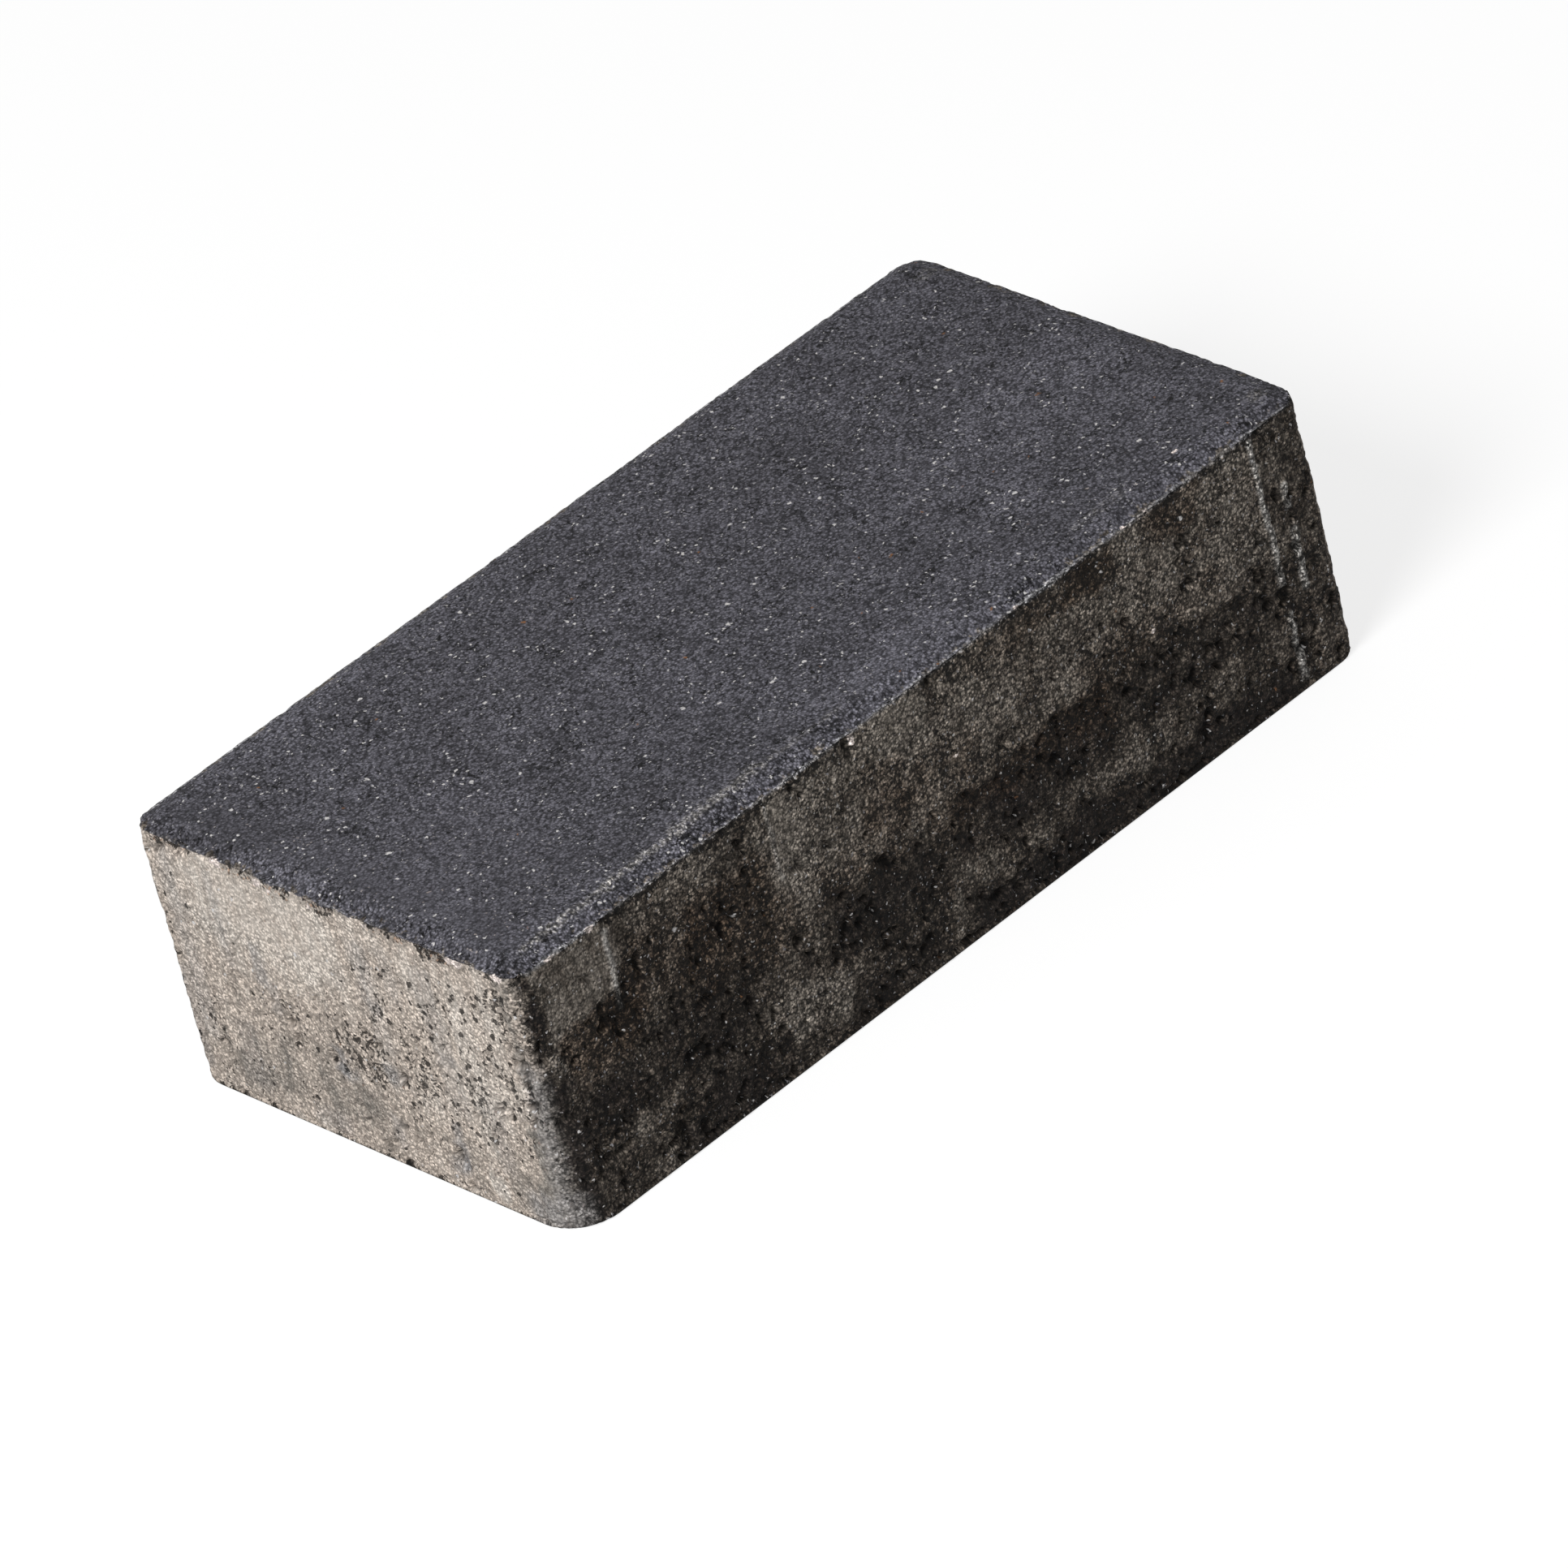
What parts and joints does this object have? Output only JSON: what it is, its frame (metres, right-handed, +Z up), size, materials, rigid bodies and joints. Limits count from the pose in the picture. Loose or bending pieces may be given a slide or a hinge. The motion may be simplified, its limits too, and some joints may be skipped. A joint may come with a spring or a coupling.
{
  "type": "concrete paving stone",
  "caption": "Rectangular pressed concrete paving stone with rounded upright corners and a shallow bevelled rim round its dark wearing face.",
  "frame": {"origin": "centre of the bed face, which lies on the ground", "axes": "+X along the length, +Y across the width, +Z up through the thickness to the wearing face"},
  "size_m": [0.21, 0.105, 0.06],
  "materials": {
    "concrete": "pressed concrete, anthracite sandy wearing face, mottled grey-brown sides"
  },
  "bodies": {
    "root": {"paving_stone": "concrete"}
  },
  "joints": []
}
